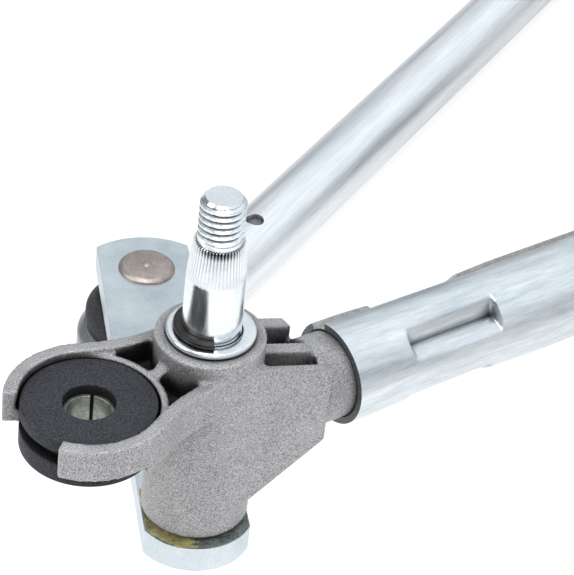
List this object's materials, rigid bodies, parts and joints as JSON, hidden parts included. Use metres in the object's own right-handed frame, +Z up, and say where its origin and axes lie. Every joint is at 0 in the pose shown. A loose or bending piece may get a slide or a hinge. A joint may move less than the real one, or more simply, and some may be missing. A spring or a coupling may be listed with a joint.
{
  "type": "wiper linkage",
  "caption": "Windscreen wiper linkage: bent frame tube with cast pivot housings, rubber fixing grommets, threaded spindles, levers, a tie rod and a drive rod on ball joints.",
  "frame": {"origin": "centre of the near fixing-bolt hole, in the middle of the grommet's groove", "axes": "+Z up along the spindles, +X along the first leg of the frame tube away from the near housing"},
  "size_m": [0.5156, 0.3155, 0.1027],
  "materials": {
    "zinc_steel": "bright zinc plate, slightly blue",
    "cast_aluminium": "die-cast and grit blasted, matt",
    "sintered_bronze": "oil-filled sintered bronze",
    "black_rubber": "matt black",
    "dark_nylon": "dark grey glass-filled nylon",
    "acetal": "natural acetal, greased",
    "oiled_spring_steel": "black oxide, oiled",
    "stud_steel": "plain hardened steel",
    "sleeve_steel": "rolled steel strip, passivated"
  },
  "bodies": {
    "frame": {"frame_tube": "zinc_steel", "near_housing": "cast_aluminium", "far_housing": "cast_aluminium", "near_upper_bush": "sintered_bronze", "near_lower_bush": "sintered_bronze", "far_upper_bush": "sintered_bronze", "far_lower_bush": "sintered_bronze", "near_seal": "black_rubber", "far_seal": "black_rubber", "near_grommet": "black_rubber", "far_grommet": "black_rubber", "near_sleeve": "sleeve_steel", "far_sleeve": "sleeve_steel", "motor_plate": "zinc_steel", "plate_straps": "zinc_steel"},
    "near_crank": {"near_spindle": "zinc_steel", "near_lever": "zinc_steel", "near_ball_stud": "stud_steel", "near_top_washer": "zinc_steel", "near_clip": "oiled_spring_steel", "near_slip_washer": "acetal"},
    "far_crank": {"far_spindle": "zinc_steel", "far_lever": "zinc_steel", "far_ball_stud": "stud_steel", "drive_ball_stud": "stud_steel", "far_top_washer": "zinc_steel", "far_clip": "oiled_spring_steel", "far_slip_washer": "acetal"},
    "tie_rod": {"tie_tube": "zinc_steel", "tie_near_socket": "dark_nylon", "tie_far_socket": "dark_nylon", "tie_near_boot": "black_rubber", "tie_far_boot": "black_rubber"},
    "drive_rod": {"drive_tube": "zinc_steel", "drive_lever_socket": "dark_nylon", "drive_crank_socket": "dark_nylon", "drive_lever_boot": "black_rubber", "drive_crank_boot": "black_rubber"}
  },
  "joints": [
    {"name": "near_pivot", "type": "hinge", "parent": "frame", "child": "near_crank", "pos_m": [0.0252, 0.0014, 0.00855], "axis": [0, 0, 1], "range_deg": [0, 90]},
    {"name": "tie_rod_pivot", "type": "hinge", "parent": "near_crank", "child": "tie_rod", "pos_m": [0.05711, 0.06861, -0.05565], "axis": [0, 0, 1], "range_deg": [-90, 0]},
    {"name": "far_pivot", "type": "hinge", "parent": "frame", "child": "far_crank", "pos_m": [0.45717, 0.21069, 0.00855], "axis": [0, 0, 1], "range_deg": [0, 90]},
    {"name": "drive_rod_pivot", "type": "hinge", "parent": "far_crank", "child": "drive_rod", "pos_m": [0.47261, 0.24321, -0.05565], "axis": [0, 0, 1], "range_deg": [-86, 0]}
  ],
  "couplings": [
    {"joint": "tie_rod_pivot", "follows": "near_pivot", "ratio": -1},
    {"joint": "far_pivot", "follows": "near_pivot", "ratio": 1},
    {"joint": "drive_rod_pivot", "follows": "near_pivot", "ratio": -0.949}
  ]
}
